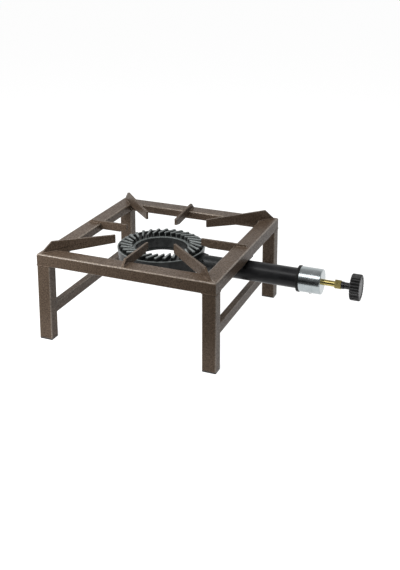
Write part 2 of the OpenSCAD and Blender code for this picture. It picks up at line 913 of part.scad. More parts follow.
module gland_nut() {
  color("#1b1b1c")
    placed()
      difference() {
        union() {
          along(gland_in) cylinder(r = gland_thread_r - valve_fit, h = gland_end - gland_in);
          along(hex_end) cylinder(r = gland_r, h = gland_l);
        }
        along(gland_in - over) cylinder(r = pocket_r, h = hex_end - gland_in + over);
        along(hex_end - over) cylinder(r = spindle_r + valve_fit, h = gland_l + 2*over);
      }
}

module control_knob() {
  color("#161616")
    placed()
      difference() {
        union() {
          along(hub_x) cylinder(r = hub_r, h = hub_l + over);
          along(knob_x)
            rotate_extrude()
              union() {
                square([knob_r - knob_round, knob_t]);
                translate([0, knob_round]) square([knob_r, knob_t - 2*knob_round]);
                for (z = [knob_round, knob_t - knob_round])
                  translate([knob_r - knob_round, z]) circle(knob_round, $fn = small_fn);
              }
        }
        for (i = [0:knob_grooves - 1])
          along(knob_x - over)
            rotate(i*360/knob_grooves)
              translate([knob_r + groove_r/2, 0, 0])
                cylinder(r = groove_r, h = knob_t - knob_round, $fn = small_fn);
        // Press fit on the spindle
        along(hub_x - over) cylinder(r = spindle_r, h = hub_l + knob_bore_share*knob_t + over);
      }
}

top_rail_front();
top_rail_back();
top_rail_left();
top_rail_right();
leg_front_left();
leg_front_right();
leg_back_left();
leg_back_right();
foot_plug_front_left();
foot_plug_front_right();
foot_plug_back_left();
foot_plug_back_right();
lower_rail_left();
lower_rail_right();
corner_support_front_left();
corner_support_front_right();
corner_support_back_left();
corner_support_back_right();
side_support_front();
side_support_back();
side_support_left();
side_support_right();
burner_body();
burner_head();
mixing_tube();
tube_collar();
hanger_brackets();
tube_saddle();
hanger_bolts();
hanger_nuts();
jet_holder();
air_shutter();
lock_screw();
jet_nut();
injector_jet();
valve_body();
valve_needle();
valve_spindle();
gland_packing();
gland_nut();
control_knob();
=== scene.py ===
"""The stock pot range in its finishes: paint, cast iron, black tube, zinc, brass and plastic."""

from math import atan2, cos, hypot, pi, radians, sin

import bmesh
import bpy
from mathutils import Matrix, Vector


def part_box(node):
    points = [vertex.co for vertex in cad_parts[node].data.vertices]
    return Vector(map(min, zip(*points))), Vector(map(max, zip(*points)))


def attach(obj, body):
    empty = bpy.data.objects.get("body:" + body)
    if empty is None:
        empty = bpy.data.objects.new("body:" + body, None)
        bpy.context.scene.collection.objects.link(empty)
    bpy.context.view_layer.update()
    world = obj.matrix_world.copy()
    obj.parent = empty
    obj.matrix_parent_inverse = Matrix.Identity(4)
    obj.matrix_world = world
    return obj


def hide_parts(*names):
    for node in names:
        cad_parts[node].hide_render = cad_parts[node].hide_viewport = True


MM = 0.001

# Photograph: place and aim of the camera, from the middle of the square frame
CAMERA_PLACE = (0.7457, -1.6157, 0.8642)
CAMERA_TURN = 22.24
CAMERA_TILT = -12.81
CAMERA_LENS = 54.09
CAMERA_SENSOR = 36
CAMERA_SHIFT = -0.2982

# Names of the pieces by finish
TOP_RAILS = ["top_rail_front", "top_rail_back", "top_rail_left", "top_rail_right"]
CORNERS = ["front_left", "front_right", "back_left", "back_right"]
SIDES = ["front", "back", "left", "right"]
LEGS = ["leg_" + corner for corner in CORNERS]
PLUGS = ["foot_plug_" + corner for corner in CORNERS]
LOWER_RAILS = ["lower_rail_left", "lower_rail_right"]
CORNER_BARS = ["corner_support_" + corner for corner in CORNERS]
SIDE_BARS = ["side_support_" + side for side in SIDES]

# Width of the broken edges of the copied solids
RAIL_EDGE = 1.0 * MM
BAR_EDGE = 0.8 * MM
PLUG_EDGE = 0.4 * MM
BRACKET_EDGE = 0.4 * MM
SADDLE_EDGE = 0.4 * MM
BOLT_EDGE = 0.3 * MM
CASTING_EDGE = 1.0 * MM
TUBE_EDGE = 0.5 * MM
COLLAR_EDGE = 1.2 * MM
HOLDER_EDGE = 0.3 * MM
LOCK_SCREW_EDGE = 0.25 * MM
JET_NUT_EDGE = 0.3 * MM
JET_EDGE = 0.15 * MM
VALVE_EDGE = 0.5 * MM
NEEDLE_EDGE = 0.1 * MM
SPINDLE_EDGE = 0.2 * MM
PACKING_EDGE = 0.15 * MM
GLAND_EDGE = 0.6 * MM

# Angles in degrees, and how near to an axis a face's normal lies before it counts as flat
SHARP_ANGLE = 34
SMOOTH_ANGLE = 50
ROUND_ANGLE = 60
PLANE_ANGLE = 0.3
FLAT_SHARE = 0.985

# Meshes
SOLID_MERGE = 0.002 * MM
SPIN_MERGE = 0.02 * MM
SPIN_STEPS = 128

# Hammered paint: lift of its colours against the plain brown, and gloss, on the faces and on the
# bends; the lift on the bends is a painted highlight
FACE_LIGHT = (1, 1, 1)
FACE_GLOSS = 0.03
BEND_PAINTED_HIGHLIGHT = (2.1, 2.4, 2.7)
BEND_GLOSS = 0.5

# Weld line where a leg meets its rail
WELD_PROUD = 0.7 * MM
WELD_HEIGHT = 2.2 * MM
WELD_ROUND = 0.32

# Burner head
CENTRE_R = 58 * MM
PLATE_T = 4 * MM
PLATE_ROUND = 1.0 * MM
TEETH = 30
TOOTH_SWEEP = radians(14)
TOOTH_IN_R = 64 * MM
TOOTH_OUT_R = 89.5 * MM
TOOTH_IN_W = 5.6 * MM
TOOTH_OUT_W = 9.6 * MM
TOOTH_ROOT = 0.6 * MM
TOOTH_SHARP_ANGLE = 20
CREST_SHARE = 0.6
CREST_ROUND = 0.8 * MM

# Where the cast iron is painted lighter, a painted highlight on its tops: how far under the crests
# and under the body's rim
CREST_HIGHLIGHT_LOW = 3 * MM
CREST_HIGHLIGHT_FULL = 0.6 * MM
RIM_HIGHLIGHT_LOW = 2 * MM
RIM_HIGHLIGHT_FULL = 0.2 * MM

# Band of the plate inside the teeth painted lighter, a painted highlight: radius, fade, share, and
# depth under the highlighted crests
BAND_R = 63.5 * MM
BAND_FADE = 0.5 * MM
BAND_SHARE = 0.75
BAND_LOW = 8.5 * MM
BAND_FULL = 7.2 * MM

# Air shutter
SHUTTER_WALL = 1.8 * MM
SHUTTER_ROUND = 2.4 * MM
SHUTTER_ROUND_STEPS = 6
SHUTTER_HOLE_R = 6.4 * MM
SCREW_HOLE_R = 2.15 * MM
SCREW_HOLE_STEPS = 32
SHUTTER_EDGE = 0.3 * MM
SHUTTER_SHARP_ANGLE = 50

# Control knob
KNOB_T = 20.4 * MM
KNOB_RIBS = 26
RIB_STEPS = 8
RIB_DEPTH = 2.6 * MM
RIB_SHARPNESS = 1.6
RIB_SMOOTH_ANGLE = 40
RIM_STEPS = [(0.9 * MM, 0.985), (0.6 * MM, 0.965), (0.3 * MM, 0.95)]
FACE_RIM = 2.4 * MM
FACE_SUNK = 1.0 * MM
FACE_WALL = 0.985
FACE_HEART = 0.12
HUB_R = 6.9 * MM
HUB_EDGE = 0.6 * MM
HUB_STEPS = 64
SPINDLE_BORE_R = 2.45 * MM

# Studio: floor
FLOOR_SIZE = 40.0
FLOOR_DROP = 0.2 * MM
FLOOR_BOUNCE = 0.5
FLOOR_SHADED = 0.3
FLOOR_GLOW = 0.93

# Studio: world, even fill light and what gloss shows above and in front
FILL = 0.16
CEILING = 0.4
FRONT_LOW = 0.05
FRONT_HIGH = 0.3

# Studio: black card in front, measured from the middle of the frame
CARD_NEAR = 0.3
CARD_FAR = 1.3
CARD_WIDTH = 3.0
CARD_HEIGHT = 0.45
CARD_LIFT = 0.5 * MM
CARD_SHADE = 0.02

# Lamps: name, place from the aim, shift of the aim, size, power, seen in reflections
AIM_HEIGHT = 0.13
LAMPS = [
    ("front_softbox", (-0.15, -0.95, 1.35), (0, 0, 0), (1.7, 0.6), 13, True),
    ("overhead_softbox", (0.0, -0.3, 1.4), (0, 0, 0), (1.2, 0.8), 14, False),
    ("left_softbox", (-0.45, -0.55, 0.24), (-0.15, 0, 0), (0.4, 0.4), 3.8, True),
]


def select_only(piece):
    bpy.ops.object.select_all(action="DESELECT")
    piece.select_set(True)
    bpy.context.view_layer.objects.active = piece


def settle(piece):
    """Puts the piece's place into its mesh."""
    select_only(piece)
    bpy.ops.object.transform_apply(location=True, rotation=True, scale=True)


def finish_modifier(piece, kind, **settings):
    modifier = piece.modifiers.new(kind.lower(), kind)
    for key, value in settings.items():
        setattr(modifier, key, value)
    select_only(piece)
    bpy.ops.object.modifier_apply(modifier=modifier.name)


def broken_edges(piece, width, segments=2, angle=SHARP_ANGLE, material=-1):
    """Rounds the sharp edges; a second material can go on the new faces."""
    finish_modifier(
        piece, "BEVEL", width=width, segments=segments, limit_method="ANGLE", material=material,
        angle_limit=radians(angle), harden_normals=False, miter_outer="MITER_ARC",
    )


def smooth(piece, angle=SMOOTH_ANGLE):
    """Smooth shading that leaves the flat faces flat."""
    select_only(piece)
    bpy.ops.object.shade_smooth_by_angle(angle=radians(angle))
    finish_modifier(piece, "WEIGHTED_NORMAL", keep_sharp=True, weight=50)


def pick(piece, kind, test):
    """In edit mode: selects the vertices, edges or faces that pass the test."""
    bpy.ops.mesh.select_mode(type=kind)
    bpy.ops.mesh.select_all(action="DESELECT")
    mesh = bmesh.from_edit_mesh(piece.data)
    parts = {"VERT": mesh.verts, "EDGE": mesh.edges, "FACE": mesh.faces}[kind]
    for part in parts:
        if test(part):
            part.select_set(True)
    mesh.select_flush_mode()
    bmesh.update_edit_mesh(piece.data)


def joined(pieces, name):
    bpy.ops.object.select_all(action="DESELECT")
    for piece in pieces:
        piece.select_set(True)
    bpy.context.view_layer.objects.active = pieces[0]
    bpy.ops.object.join()
    pieces[0].name = name
    return pieces[0]


def dress(piece, material, body, slot, *nodes):
    """Gives the piece its material and its body and hides the CAD solid that it stands for; slot is
    not used.
    """
    if material not in piece.data.materials[:]:
        piece.data.materials.clear()
        piece.data.materials.append(material)
    if nodes:
        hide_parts(*nodes)
    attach(piece, body)
    return piece


# Finishes


def new_material(name, color, metallic=0.0, roughness=0.5, **sockets):
    material = bpy.data.materials.new(name)
    material.use_nodes = True
    shader = material.node_tree.nodes["Principled BSDF"]
    shader.inputs["Base Color"].default_value = (*color, 1)
    shader.inputs["Metallic"].default_value = metallic
    shader.inputs["Roughness"].default_value = roughness
    for key, value in sockets.items():
        shader.inputs[key.replace("_", " ").title().replace("Ior", "IOR")].default_value = value
    return material


def place_on_object(tree, stretch=(1, 1, 1)):
    coordinates = tree.nodes.new("ShaderNodeTexCoord")
    mapping = tree.nodes.new("ShaderNodeMapping")
    mapping.inputs["Scale"].default_value = stretch
    tree.links.new(coordinates.outputs["Object"], mapping.inputs["Vector"])
    return mapping.outputs["Vector"]


def noise(tree, vector, scale, detail=3.0, roughness=0.55):
    texture = tree.nodes.new("ShaderNodeTexNoise")
    texture.inputs["Scale"].default_value = scale
    texture.inputs["Detail"].default_value = detail
    texture.inputs["Roughness"].default_value = roughness
    tree.links.new(vector, texture.inputs["Vector"])
    return texture.outputs["Fac"]


def cells(tree, vector, scale):
    texture = tree.nodes.new("ShaderNodeTexVoronoi")
    texture.feature = "SMOOTH_F1"
    texture.inputs["Scale"].default_value = scale
    tree.links.new(vector, texture.inputs["Vector"])
    return texture.outputs["Distance"]


def ramp(tree, value, stops):
    node = tree.nodes.new("ShaderNodeValToRGB")
    while len(node.color_ramp.elements) < len(stops):
        node.color_ramp.elements.new(1.0)
    for element, (place, color) in zip(node.color_ramp.elements, stops):
        element.position = place
        element.color = (*color, 1)
    tree.links.new(value, node.inputs["Fac"])
    return node.outputs["Color"]


def spread(tree, value, low, high, to_low, to_high):
    """A value moved from one range to another, and held inside it."""
    node = tree.nodes.new("ShaderNodeMapRange")
    node.inputs["From Min"].default_value = low
    node.inputs["From Max"].default_value = high
    node.inputs["To Min"].default_value = to_low
    node.inputs["To Max"].default_value = to_high
    tree.links.new(value, node.inputs["Value"])
    return node.outputs["Result"]


def combined(tree, operation, first, second):
    node = tree.nodes.new("ShaderNodeMath")
    node.operation = operation
    node.use_clamp = True
    tree.links.new(first, node.inputs[0])
    tree.links.new(second, node.inputs[1])
    return node.outputs["Value"]


def blended(tree, share, first, second):
    """Two colours mixed by a share of the second."""
    node = tree.nodes.new("ShaderNodeMix")
    node.data_type = "RGBA"
    tree.links.new(share, node.inputs["Factor"])
    tree.links.new(first, node.inputs[6])
    tree.links.new(second, node.inputs[7])
    return node.outputs[2]


def bump(tree, shader, height, strength, distance, under=None):
    node = tree.nodes.new("ShaderNodeBump")
    node.inputs["Strength"].default_value = strength
    node.inputs["Distance"].default_value = distance
    tree.links.new(height, node.inputs["Height"])
    if under:
        tree.links.new(under, node.inputs["Normal"])
    tree.links.new(node.outputs["Normal"], shader.inputs["Normal"])
    return node.outputs["Normal"]


def lifted(color, light):
    return [part * lift for part, lift in zip(color, light)]


def hammered_paint(name, light, gloss):
    """Brown paint with metal flakes that dries into small dents.

    Light lifts the three parts of its colours; lifted on the bends, it is a painted highlight.
    """
    material = new_material(
        name, (0.088, 0.062, 0.044), 0.2, 0.4, coat_weight=gloss, coat_roughness=0.15,
        specular_ior_level=0.12,
    )
    tree = material.node_tree
    shader = tree.nodes["Principled BSDF"]
    vector = place_on_object(tree)
    speckle = noise(tree, vector, 330, 3.0, 0.75)
    dull = lifted((0.043, 0.029, 0.02), light)
    flake = lifted((0.138, 0.1, 0.072), light)
    thin = lifted((0.066, 0.046, 0.032), light)
    thick = lifted((0.106, 0.076, 0.054), light)
    fine = ramp(tree, speckle, [(0.38, dull), (0.62, flake)])
    patches = ramp(tree, noise(tree, vector, 60, 2.0), [(0.3, thin), (0.75, thick)])
    share = spread(tree, noise(tree, vector, 25, 1.0), 0.3, 0.7, 0.25, 0.4)
    tree.links.new(blended(tree, share, fine, patches), shader.inputs["Base Color"])
    tree.links.new(spread(tree, speckle, 0.35, 0.65, 0.52, 0.3), shader.inputs["Roughness"])
    orange_peel = bump(tree, shader, noise(tree, vector, 170, 1.0), 0.3, 0.8 * MM)
    bump(tree, shader, cells(tree, vector, 300), 0.6, 0.7 * MM, orange_peel)
    return material


def cast_iron(name, highlight_from, highlight_to, centre, band_r):
    """Blackened casting with the grain of its mould, darker low down from soot and painted shade,
    and lighter at its top as a painted highlight.

    Inside band_r from the centre it is painted lighter too, a painted highlight, from a little
    under the teeth upwards.
    """
    material = new_material(
        name, (0.035, 0.039, 0.039), 0.25, 0.42, coat_weight=0.1, specular_ior_level=0.35
    )
    tree = material.node_tree
    shader = tree.nodes["Principled BSDF"]
    vector = place_on_object(tree)
    patches = noise(tree, vector, 90, 4.0)
    # Dark shade low down: part soot, part painted shade between the teeth; light shade at the top:
    # a painted highlight
    soot_and_shade_color = ramp(tree, patches, [(0.3, (0.006, 0.007, 0.007)), (0.75, (0.02, 0.022, 0.022))])
    lit_top_color = ramp(tree, patches, [(0.3, (0.12, 0.132, 0.129)), (0.75, (0.23, 0.25, 0.245))])
    split = tree.nodes.new("ShaderNodeSeparateXYZ")
    tree.links.new(vector, split.inputs["Vector"])
    share = spread(tree, split.outputs["Z"], highlight_from, highlight_to, 0.0, 1.0)
    flat = tree.nodes.new("ShaderNodeVectorMath")
    flat.operation = "MULTIPLY"
    flat.inputs[1].default_value = (1, 1, 0)
    tree.links.new(vector, flat.inputs[0])
    distance = tree.nodes.new("ShaderNodeVectorMath")
    distance.operation = "DISTANCE"
    distance.inputs[1].default_value = centre
    tree.links.new(flat.outputs["Vector"], distance.inputs[0])
    in_band = spread(tree, distance.outputs["Value"], band_r, band_r - BAND_FADE, 0.0, BAND_SHARE)
    band_from, band_to = highlight_from - BAND_LOW, highlight_from - BAND_FULL
    on_top = spread(tree, split.outputs["Z"], band_from, band_to, 0.0, 1.0)
    share = combined(tree, "ADD", share, combined(tree, "MULTIPLY", in_band, on_top))
    tree.links.new(blended(tree, share, soot_and_shade_color, lit_top_color), shader.inputs["Base Color"])
    tree.links.new(spread(tree, patches, 0.3, 0.7, 0.5, 0.36), shader.inputs["Roughness"])
    coarse = bump(tree, shader, noise(tree, vector, 240, 3.0), 0.3, 0.5 * MM)
    bump(tree, shader, noise(tree, vector, 1100, 2.0), 0.35, 0.2 * MM, coarse)
    return material


def grained(
    name, dark, light, grain, relief, metallic=0.0, roughness=0.5, light_from=0.75, shine=None,
    stretch=(1, 1, 1), **sockets,
):
    """A plain finish: two close shades in a grain, a fine relief and, with shine, a varied gloss.

    The relief is (scale, detail, strength, depth); stretch draws it out into lines.
    """
    middle = [(low + high) / 2 for low, high in zip(dark, light)]
    material = new_material(name, middle, metallic, roughness, **sockets)
    tree = material.node_tree
    shader = tree.nodes["Principled BSDF"]
    shade = noise(tree, place_on_object(tree), grain)
    color = ramp(tree, shade, [(0.3, dark), (light_from, light)])
    tree.links.new(color, shader.inputs["Base Color"])
    if shine:
        tree.links.new(spread(tree, shade, 0.3, 0.7, *shine), shader.inputs["Roughness"])
    scale, detail, strength, depth = relief
    bump(tree, shader, noise(tree, place_on_object(tree, stretch), scale, detail), strength, depth)
    return material


def satin_black_paint():
    return grained(
        "satin_black_paint", dark=(0.008, 0.008, 0.009), light=(0.018, 0.018, 0.019), grain=40,
        relief=(700, 2.0, 0.12, 0.2 * MM), light_from=0.8, shine=(0.28, 0.38),
        specular_ior_level=0.2,
    )


def black_rubber():
    return grained(
        "black_rubber", dark=(0.005, 0.005, 0.005), light=(0.011, 0.011, 0.011), grain=300,
        relief=(900, 3.0, 0.2, 0.2 * MM), specular_ior_level=0.2,
    )


def zinc_plate():
    """Bright zinc on turned sheet: fine lines round the axis and a faint cloudiness."""
    return grained(
        "zinc_plate", dark=(0.35, 0.385, 0.395), light=(0.45, 0.49, 0.5), grain=60,
        relief=(1500, 2.0, 0.08, 0.1 * MM), stretch=(1, 0.04, 0.04), metallic=1.0,
        shine=(0.18, 0.27),
    )


def bright_steel():
    return grained(
        "bright_steel", dark=(0.42, 0.42, 0.42), light=(0.56, 0.56, 0.56), grain=500,
        relief=(800, 3.0, 0.15, 0.15 * MM), metallic=1.0, roughness=0.33,
    )


def blackened_steel():
    return grained(
        "blackened_steel", dark=(0.01, 0.01, 0.011), light=(0.024, 0.024, 0.025), grain=400,
        relief=(900, 3.0, 0.15, 0.15 * MM), metallic=0.3, roughness=0.3,
    )


def turned_brass():
    """Brass with lathe lines and the olive cast of a light tarnish."""
    return grained(
        "turned_brass", dark=(0.34, 0.28, 0.1), light=(0.5, 0.42, 0.17), grain=160,
        relief=(2500, 2.0, 0.12, 0.1 * MM), stretch=(1, 0.05, 0.05), metallic=1.0,
        shine=(0.26, 0.16),
    )


def moulded_plastic():
    return grained(
        "moulded_black_plastic", dark=(0.006, 0.006, 0.006), light=(0.012, 0.012, 0.012),
        grain=250, relief=(1600, 2.0, 0.15, 0.1 * MM), shine=(0.32, 0.42),
    )


def sealing_plastic():
    return grained(
        "white_sealing_plastic", dark=(0.72, 0.71, 0.68), light=(0.8, 0.79, 0.76), grain=400,
        relief=(900, 3.0, 0.1, 0.1 * MM),
    )


# Pieces


def paint_highlight_on_bends(piece):
    """Gives the rounded bends of a piece that stands square in the frame the second material, a
    lighter paint that is a painted highlight.
    """
    for face in piece.data.polygons:
        if max(abs(part) for part in face.normal) < FLAT_SHARE:
            face.material_index = 1


def softened(node, slot, edge, segments=2, body="range", plates=True, highlight_material=None):
    """A copy of a CAD solid whose sharp edges are broken like the real metal's.

    With plates, faces in one plane are merged first; a ring would lose its open centre by that.
    """
    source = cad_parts[node]
    piece = bpy.data.objects.new(node + "_finished", source.data.copy())
    bpy.context.scene.collection.objects.link(piece)
    select_only(piece)
    bpy.ops.object.mode_set(mode="EDIT")
    bpy.ops.mesh.select_all(action="SELECT")
    bpy.ops.mesh.customdata_custom_splitnormals_clear()
    bpy.ops.mesh.remove_doubles(threshold=SOLID_MERGE)
    if plates:
        bpy.ops.mesh.dissolve_limited(angle_limit=radians(PLANE_ANGLE))
    bpy.ops.object.mode_set(mode="OBJECT")
    piece.data.materials.clear()
    piece.data.materials.append(finishes[slot])
    # A second material, where given, is a lighter paint on the broken edges: a painted highlight
    if highlight_material:
        piece.data.materials.append(highlight_material)
    broken_edges(piece, edge, segments, material=1 if highlight_material else -1)
    smooth(piece)
    return dress(piece, finishes[slot], body, slot, node)


def turned(name, outline, centre, along_tube, steps=SPIN_STEPS):
    """Spins a closed outline of (radius, distance) round the burner's axis or the tube's axis."""
    axis = (1, 0, 0) if along_tube else (0, 0, 1)
    places = [(d, 0, r) if along_tube else (r, 0, d) for r, d in outline]
    points = [centre + Vector(place) for place in places]
    bpy.ops.object.select_all(action="DESELECT")
    bpy.ops.mesh.primitive_plane_add(size=MM, location=points[0])
    piece = bpy.context.object
    piece.name = name
    settle(piece)
    bpy.ops.object.mode_set(mode="EDIT")
    bpy.ops.mesh.select_mode(type="VERT")
    bpy.ops.mesh.select_all(action="SELECT")
    bpy.ops.mesh.merge(type="CENTER")
    for start, end in zip(points, points[1:] + points[:1]):
        bpy.ops.mesh.extrude_region_move(TRANSFORM_OT_translate={"value": end - start})
    bpy.ops.mesh.select_all(action="SELECT")
    bpy.ops.mesh.spin(steps=steps, angle=2 * pi, center=centre, axis=axis)
    bpy.ops.mesh.select_all(action="SELECT")
    bpy.ops.mesh.remove_doubles(threshold=SPIN_MERGE)
    bpy.ops.mesh.normals_make_consistent(inside=False)
    bpy.ops.object.mode_set(mode="OBJECT")
    return piece


def weld_line(corner):
    """The raised seam that runs round a leg where it enters the drop of the rails."""
    low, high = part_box("leg_" + corner)
    middle = (low + high) / 2
    size = high - low
    bpy.ops.object.select_all(action="DESELECT")
    bpy.ops.mesh.primitive_cube_add(
        size=1, location=(middle.x, middle.y, high.z),
        scale=(size.x + 2 * WELD_PROUD, size.y + 2 * WELD_PROUD, WELD_HEIGHT),
    )
    piece = bpy.context.object
    piece.name = "weld_line_" + corner
    settle(piece)
    broken_edges(piece, WELD_HEIGHT * WELD_ROUND, 3)
    smooth(piece, ROUND_ANGLE)
    return dress(piece, finishes["frame_paint"], "range", "frame_paint")


def burner_tooth(length, base, crest):
    """One tooth of the burner head, along +X, wider at its outer end, with a rounded crest."""
    bpy.ops.object.select_all(action="DESELECT")
    bpy.ops.mesh.primitive_cube_add(
        size=1, location=(length / 2, 0, (base + crest) / 2),
        scale=(length, TOOTH_OUT_W, crest - base),
    )
    piece = bpy.context.object
    settle(piece)
    bpy.ops.object.mode_set(mode="EDIT")
    pick(piece, "VERT", lambda vertex: vertex.co.x < length / 2)
    bpy.ops.transform.resize(value=(1, TOOTH_IN_W / TOOTH_OUT_W, 1), center_override=(0, 0, base))
    pick(piece, "VERT", lambda vertex: vertex.co.z > (base + crest) / 2)
    bpy.ops.transform.resize(value=(1, CREST_SHARE, 1), center_override=(0, 0, crest))
    bpy.ops.object.mode_set(mode="OBJECT")
    broken_edges(piece, CREST_ROUND, 3, TOOTH_SHARP_ANGLE)
    smooth(piece, ROUND_ANGLE)
    return piece


def burner_head():
    """The plate with its ring of slanted teeth, cast in one piece."""
    low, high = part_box("burner_head")
    centre = Vector(((low.x + high.x) / 2, (low.y + high.y) / 2, 0))
    top = low.z + PLATE_T
    head_r = (high.x - low.x) / 2
    outline = [(CENTRE_R, low.z), (head_r, low.z), (head_r, top), (CENTRE_R, top)]
    plate = turned("burner_head_plate", outline, centre, False)
    broken_edges(plate, PLATE_ROUND, 3)
    smooth(plate)
    inner = Vector((TOOTH_IN_R, 0, 0))
    outer = Vector((TOOTH_OUT_R * cos(TOOTH_SWEEP), -TOOTH_OUT_R * sin(TOOTH_SWEEP), 0))
    slant = outer - inner
    first = burner_tooth(slant.length, top - TOOTH_ROOT, high.z)
    first.location = inner
    first.rotation_euler.z = atan2(slant.y, slant.x)
    settle(first)
    pieces = [plate]
    for number in range(TEETH):
        tooth = first.copy()
        tooth.data = first.data.copy()
        bpy.context.scene.collection.objects.link(tooth)
        tooth.location = centre
        tooth.rotation_euler.z = number * 2 * pi / TEETH
        settle(tooth)
        pieces.append(tooth)
    bpy.data.objects.remove(first)
    head = joined(pieces, "burner_head_cast")
    return dress(head, head_iron, "range", "burner_iron", "burner_head")


def air_shutter():
    """The zinc-plated cup: a rounded rim, a hole for the nose and a hole for the lock screw."""
    low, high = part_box("air_shutter")
    centre = Vector((0, (low.y + high.y) / 2, (low.z + high.z) / 2))
    out_r = (high.y - low.y) / 2
    in_r = out_r - SHUTTER_WALL
    face = high.x - SHUTTER_WALL
    outline = [
        (in_r, low.x), (out_r, low.x), (out_r, high.x),
        (SHUTTER_HOLE_R, high.x), (SHUTTER_HOLE_R, face), (in_r, face),
    ]
    piece = turned("air_shutter_cup", outline, centre, True)
    select_only(piece)
    bpy.ops.object.mode_set(mode="EDIT")

    def on_rim(edge):
        places = [vertex.co - centre for vertex in edge.verts]
        at_face = all(place.x > high.x - MM / 10 for place in places)
        return at_face and all(hypot(place.y, place.z) > in_r for place in places)

    pick(piece, "EDGE", on_rim)
    bpy.ops.mesh.bevel(offset=SHUTTER_ROUND, segments=SHUTTER_ROUND_STEPS, affect="EDGES")
    bpy.ops.object.mode_set(mode="OBJECT")
    screw_low, screw_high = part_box("lock_screw")
    screw_x = (screw_low.x + screw_high.x) / 2
    bpy.ops.object.select_all(action="DESELECT")
    bpy.ops.mesh.primitive_cylinder_add(
        vertices=SCREW_HOLE_STEPS, radius=SCREW_HOLE_R, depth=out_r,
        location=(screw_x, centre.y, centre.z - out_r),
    )
    drill = bpy.context.object
    finish_modifier(piece, "BOOLEAN", object=drill, operation="DIFFERENCE", solver="EXACT")
    bpy.data.objects.remove(drill)
    broken_edges(piece, SHUTTER_EDGE, 2, SHUTTER_SHARP_ANGLE)
    smooth(piece)
    return dress(piece, finishes["zinc"], "shutter", "zinc", "air_shutter")


def control_knob():
    """The moulded knob: rounded ribs round its rim, a sunk face and a neck on the spindle."""
    low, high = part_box("control_knob")
    centre = Vector((0, (low.y + high.y) / 2, (low.z + high.z) / 2))
    radius = (high.y - low.y) / 2
    back = high.x - KNOB_T
    rim = sum(depth for depth, scale in RIM_STEPS)
    bpy.ops.object.select_all(action="DESELECT")
    bpy.ops.mesh.primitive_cylinder_add(
        vertices=KNOB_RIBS * RIB_STEPS, radius=radius, depth=KNOB_T - 2 * rim,
        rotation=(0, pi / 2, 0), location=(back + KNOB_T / 2, centre.y, centre.z),
        end_fill_type="NGON",
    )
    piece = bpy.context.object
    settle(piece)
    bpy.ops.object.mode_set(mode="EDIT")

    def step_of(vertex):
        turn = atan2(vertex.co.y - centre.y, vertex.co.z - centre.z) % (2 * pi)
        return round(turn / (2 * pi) * KNOB_RIBS * RIB_STEPS) % RIB_STEPS

    steps = {vertex.index: step_of(vertex) for vertex in bmesh.from_edit_mesh(piece.data).verts}
    for step in range(RIB_STEPS):
        valley = (0.5 + 0.5 * cos(2 * pi * step / RIB_STEPS)) ** RIB_SHARPNESS
        share = 1 - RIB_DEPTH / radius * valley
        pick(piece, "VERT", lambda vertex: steps[vertex.index] == step)
        bpy.ops.transform.resize(value=(1, share, share), center_override=centre)
    for side in (-1, 1):
        pick(piece, "FACE", lambda face: face.normal.x * side > 0.9)
        for depth, scale in RIM_STEPS:
            bpy.ops.mesh.extrude_region_move(TRANSFORM_OT_translate={"value": (side * depth, 0, 0)})
            bpy.ops.transform.resize(value=(1, scale, scale), center_override=centre)
    face_scale = 1 - FACE_RIM / radius
    for depth, scale in ((0, face_scale), (-FACE_SUNK, FACE_WALL), (0, FACE_HEART)):
        bpy.ops.mesh.extrude_region_move(TRANSFORM_OT_translate={"value": (depth, 0, 0)})
        bpy.ops.transform.resize(value=(1, scale, scale), center_override=centre)
    bpy.ops.object.mode_set(mode="OBJECT")
    smooth(piece, RIB_SMOOTH_ANGLE)
    end = back + MM
    outline = [(SPINDLE_BORE_R, low.x), (HUB_R, low.x), (HUB_R, end), (SPINDLE_BORE_R, end)]
    neck = turned("knob_neck", outline, centre, True, HUB_STEPS)
    broken_edges(neck, HUB_EDGE, 2)
    smooth(neck)
    knob = joined([piece, neck], "control_knob_moulded")
    return dress(knob, finishes["knob_plastic"], "knob", "knob_plastic", "control_knob")


# Studio


def area_light(name, place, aim, size, power, mirrored):
    data = bpy.data.lights.new(name, "AREA")
    data.shape = "RECTANGLE"
    data.size, data.size_y = size
    data.energy = power
    lamp = bpy.data.objects.new(name, data)
    bpy.context.scene.collection.objects.link(lamp)
    lamp.location = place
    lamp.rotation_euler = (Vector(aim) - Vector(place)).to_track_quat("-Z", "Y").to_euler()
    lamp.visible_camera = False
    lamp.visible_glossy = mirrored


def seen_rays(tree):
    """One for the rays that show things, straight or in gloss, and zero for the fill light's."""
    paths = tree.nodes.new("ShaderNodeLightPath")
    rays = combined(tree, "ADD", paths.outputs["Is Camera Ray"], paths.outputs["Is Glossy Ray"])
    return combined(tree, "ADD", rays, paths.outputs["Is Transmission Ray"])


def studio_world():
    """A pale backdrop that gloss and metal show, over a weaker even light from all round."""
    world = bpy.data.worlds.new("studio")
    bpy.context.scene.world = world
    world.use_nodes = True
    tree = world.node_tree
    light = tree.nodes["Background"]
    light.inputs["Strength"].default_value = 1.0
    direction = tree.nodes.new("ShaderNodeTexCoord")
    split = tree.nodes.new("ShaderNodeSeparateXYZ")
    tree.links.new(direction.outputs["Generated"], split.inputs["Vector"])
    height = spread(tree, split.outputs["Z"], 0.0, 1.0, 0.0, 1.0)
    pale = ramp(tree, height, [(0.0, [1.0] * 3), (0.55, [1.0] * 3), (0.95, [CEILING] * 3)])
    dark = ramp(tree, height, [(0.0, [FRONT_LOW] * 3), (1.0, [FRONT_HIGH] * 3)])
    in_front = spread(tree, split.outputs["Y"], 0.1, -0.35, 0.0, 1.0)
    shown = blended(tree, in_front, pale, dark)
    fill = tree.nodes.new("ShaderNodeRGB")
    fill.outputs["Color"].default_value = (FILL, FILL, FILL, 1)
    color = blended(tree, seen_rays(tree), fill.outputs["Color"], shown)
    tree.links.new(color, light.inputs["Color"])


